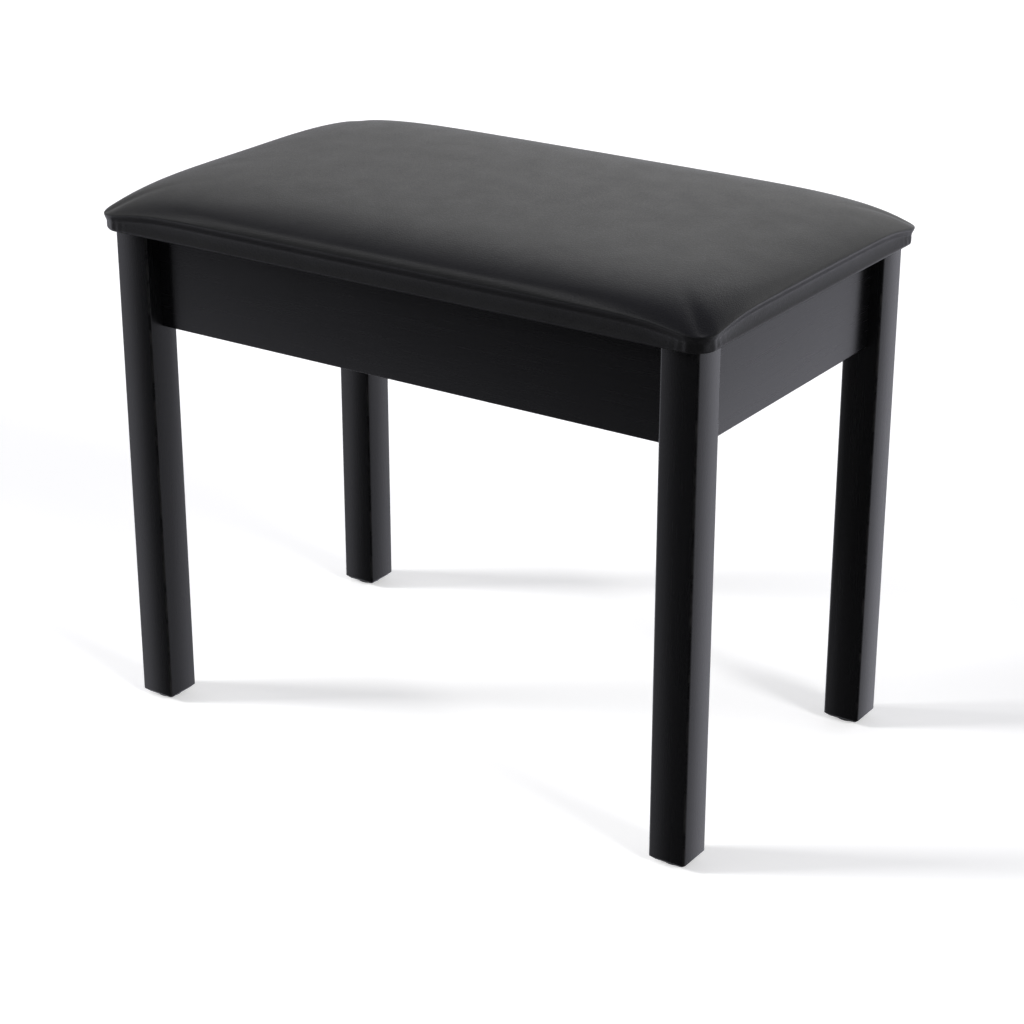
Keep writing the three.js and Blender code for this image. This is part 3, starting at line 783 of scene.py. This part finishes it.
@material("black_plastic")
def black_plastic(tree, shader):
    texture = noise_pattern(tree, coordinates(tree), 1500, detail=3)
    scuffs = noise_pattern(tree, coordinates(tree), 240, detail=5)
    shade = remap(tree, scuffs, 0, 1, 0.5, 0.7)
    colour = two_colours(tree, shade, (0.008, 0.008, 0.009), (0.03, 0.03, 0.03))
    connect(tree, shader, colour=colour, normal=bump(tree, texture, 0.06 * MM, 0.5),
            roughness=remap(tree, scuffs, 0.42, 0.6))


# ---------- pieces ----------

def finish_piece(piece, look, node):
    """A new piece that stands for a CAD node."""
    piece.data.materials.clear()
    piece.data.materials.append(look)
    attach(piece, ROOT)
    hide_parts(node)


CREASE_ANGLE = math.radians(35)  # an edge sharper than this stays sharp
WELD_DISTANCE = 0.005 * MM


def smoothing_group():
    """Geometry nodes that weld a mesh and shade it smooth, except at its sharp edges."""
    group = bpy.data.node_groups.new("smooth_by_angle", "GeometryNodeTree")
    group.interface.new_socket("Geometry", in_out="INPUT", socket_type="NodeSocketGeometry")
    group.interface.new_socket("Geometry", in_out="OUTPUT", socket_type="NodeSocketGeometry")
    nodes, links = group.nodes, group.links
    source = nodes.new("NodeGroupInput")
    weld = nodes.new("GeometryNodeMergeByDistance")
    weld.inputs["Distance"].default_value = WELD_DISTANCE
    smooth = nodes.new("GeometryNodeSetShadeSmooth")
    smooth.domain = "FACE"
    angle = nodes.new("GeometryNodeInputMeshEdgeAngle")
    sharper = nodes.new("FunctionNodeCompare")
    sharper.data_type, sharper.operation = "FLOAT", "GREATER_THAN"
    sharper.inputs[1].default_value = CREASE_ANGLE
    sharp = nodes.new("GeometryNodeSetShadeSmooth")
    sharp.domain = "EDGE"
    sharp.inputs["Shade Smooth"].default_value = False
    result = nodes.new("NodeGroupOutput")
    links.new(source.outputs[0], weld.inputs["Geometry"])
    links.new(weld.outputs["Geometry"], smooth.inputs["Geometry"])
    links.new(smooth.outputs["Geometry"], sharp.inputs["Geometry"])
    links.new(angle.outputs["Unsigned Angle"], sharper.inputs[0])
    links.new(sharper.outputs["Result"], sharp.inputs["Selection"])
    links.new(sharp.outputs["Geometry"], result.inputs[0])
    return group


def look_of(node):
    """The material of a CAD node that stays, by the start of its name."""
    if node.startswith("leg_bolt") or node.startswith("leg_insert"):
        return zinc_steel()
    if node.startswith("leg_"):
        return LACQUER["z"]()
    if node in ("apron_front", "apron_back"):
        return LACQUER["x"]()
    if node in ("apron_left", "apron_right"):
        return LACQUER["y"]()
    if node.startswith("corner_brace"):
        same_side = node.endswith("front_right") or node.endswith("back_left")
        return BRACE_WOOD["rising" if same_side else "falling"]()
    if node.startswith("glide"):
        return black_plastic()
    if node == "seat_board":
        return plywood()
    return zinc_steel()


def dress_cad_nodes():
    group = smoothing_group()
    for name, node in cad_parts.items():
        if node.hide_render:
            continue
        node.data.materials.clear()
        node.data.materials.append(look_of(name))
        modifier = node.modifiers.new("smooth_by_angle", "NODES")
        modifier.node_group = group


# ---------- studio ----------

FLOOR_SIZE = 30
FLOOR_GREY = 0.93
FLOOR_GLOW = 0.38


def build_floor():
    """A plain white floor that glows a little, so that only the softest shadows show on it."""
    half = FLOOR_SIZE / 2
    corners = [(-half, -half, 0), (half, -half, 0), (half, half, 0), (-half, half, 0)]
    floor = mesh_object("floor", corners, [(0, 1, 2, 3)])
    look = bpy.data.materials.new("floor_white")
    look.use_nodes = True
    shader = look.node_tree.nodes["Principled BSDF"]
    shader.inputs["Base Color"].default_value = (FLOOR_GREY, FLOOR_GREY, FLOOR_GREY, 1)
    shader.inputs["Roughness"].default_value = 0.9
    shader.inputs["Specular IOR Level"].default_value = 0
    shader.inputs["Emission Color"].default_value = (1, 1, 1, 1)
    shader.inputs["Emission Strength"].default_value = FLOOR_GLOW
    floor.data.materials.append(look)
    floor.visible_glossy = False


PLAIN_WHITE = (1.0, 1.0, 1.0)
COOL_WHITE = (0.97, 0.97, 1.07)
CEILING_BLUE = (0.92, 0.92, 1.14)
# (height of the direction, brightness, tint): the floor, a dim horizon, a white backdrop and a dim ceiling
ROOM = [
    (-1.0, 0.1, COOL_WHITE), (-0.7, 0.12, COOL_WHITE), (-0.52, 1.0, COOL_WHITE), (-0.06, 1.0, COOL_WHITE),
    (0.04, 0.5, PLAIN_WHITE), (0.28, 1.14, PLAIN_WHITE), (0.48, 1.08, PLAIN_WHITE),
    (0.72, 0.2, CEILING_BLUE), (1.0, 0.12, CEILING_BLUE),
]
DARK_FRONT = 0.98  # how much of the light is missing low down on the front side
DARK_SIDE = (0.34, -0.94, 0.0)  # the direction of the middle of the dark
DIM_RIGHT = 0.42  # what is left of the light on the right
DIM_LEFT = 0.5  # what is left of the backdrop's light far to the left
STRIP = 1.5  # a strip light high at the front left, which draws the highlight along the seat's nose
KEY_LIGHT = {"direction": (-1.9, -1.2, 1.0), "angle": 13, "strength": 2.4}
FILL_LIGHT = {"direction": (1.9, -0.45, 1.0), "angle": 16, "strength": 1.4}


def build_world():
    """A white room that is dark low down on the front side, so that the fronts stay black."""
    world = bpy.data.worlds.new("studio")
    bpy.context.scene.world = world
    world.use_nodes = True
    tree = world.node_tree
    direction = add(tree, "TexCoord").outputs["Generated"]
    front = add(tree, "VectorMath", {0: direction, 1: DARK_SIDE}, operation="DOT_PRODUCT").outputs["Value"]
    parts = add(tree, "SeparateXYZ", {"Vector": direction}).outputs
    x, y, z = parts["X"], parts["Y"], parts["Z"]
    ramp = add(tree, "ValToRGB", {"Fac": remap(tree, z, 0, 1, -1, 1)})
    stops = ramp.color_ramp.elements
    while len(stops) < len(ROOM):
        stops.new(0.5)
    for stop, (height, brightness, tint) in zip(stops, ROOM):
        stop.position = (height + 1) / 2
        stop.color = (*(brightness * channel for channel in tint), 1)
    shade = product(tree, remap(tree, front, 0, DARK_FRONT, 0.26, 0.52), remap(tree, z, 1, 0, 0.42, 0.62))
    lit = product(tree, remap(tree, shade, 1, 0, 0, 1), remap(tree, x, 1, DIM_RIGHT, 0.4, 0.7))
    left, below = remap(tree, x, DIM_LEFT, 1, -0.74, -0.52), remap(tree, z, 1, 0, 0, 0.15)
    lit = product(tree, lit, add(tree, "Math", {0: left, 1: below}, operation="MAXIMUM").outputs[0])
    height = product(tree, remap(tree, z, 0, 1, 0.56, 0.66), remap(tree, z, 1, 0, 0.78, 0.9))
    side = product(tree, remap(tree, y, 1, 0, -0.35, -0.05), remap(tree, x, 1, 0, -0.45, -0.25))
    strip = product(tree, product(tree, height, side), STRIP)
    room = add(tree, "VectorMath", {0: ramp.outputs["Color"], "Scale": lit}, operation="SCALE").outputs[0]
    both = add(tree, "VectorMath", {0: room, 1: strip}, operation="ADD").outputs[0]
    tree.links.new(both, tree.nodes["Background"].inputs["Color"])


def soft_light(name, direction, angle, strength):
    """A distant lamp as wide as an angle in degrees, which isn't seen in reflections."""
    light = bpy.data.lights.new(name, "SUN")
    light.angle = math.radians(angle)
    light.energy = strength
    lamp = bpy.data.objects.new(name, light)
    lamp.rotation_mode = "QUATERNION"
    lamp.rotation_quaternion = Vector(direction).to_track_quat("Z", "Y")
    lamp.visible_glossy = False
    bpy.context.scene.collection.objects.link(lamp)


def build_lights():
    soft_light("key_left", **KEY_LIGHT)
    soft_light("fill_right", **FILL_LIGHT)


def build_camera():
    data = bpy.data.cameras.new("camera")
    data.sensor_width = SENSOR_WIDTH
    data.lens = CAMERA_LENS
    camera = bpy.data.objects.new("camera", data)
    level = math.cos(CAMERA_ELEVATION)
    back = Vector((
        math.sin(CAMERA_AZIMUTH) * level,
        -math.cos(CAMERA_AZIMUTH) * level,
        math.sin(CAMERA_ELEVATION),
    ))
    camera.location = CAMERA_AIM + back * CAMERA_DISTANCE
    camera.rotation_mode = "QUATERNION"
    camera.rotation_quaternion = (-back).to_track_quat("-Z", "Y")
    bpy.context.scene.collection.objects.link(camera)
    bpy.context.scene.camera = camera


def build():
    build_camera()
    build_cover()
    build_dust_cover()
    build_staples()
    dress_cad_nodes()
    build_floor()
    build_world()
    build_lights()
    bpy.context.scene.view_settings.view_transform = "Standard"


build()
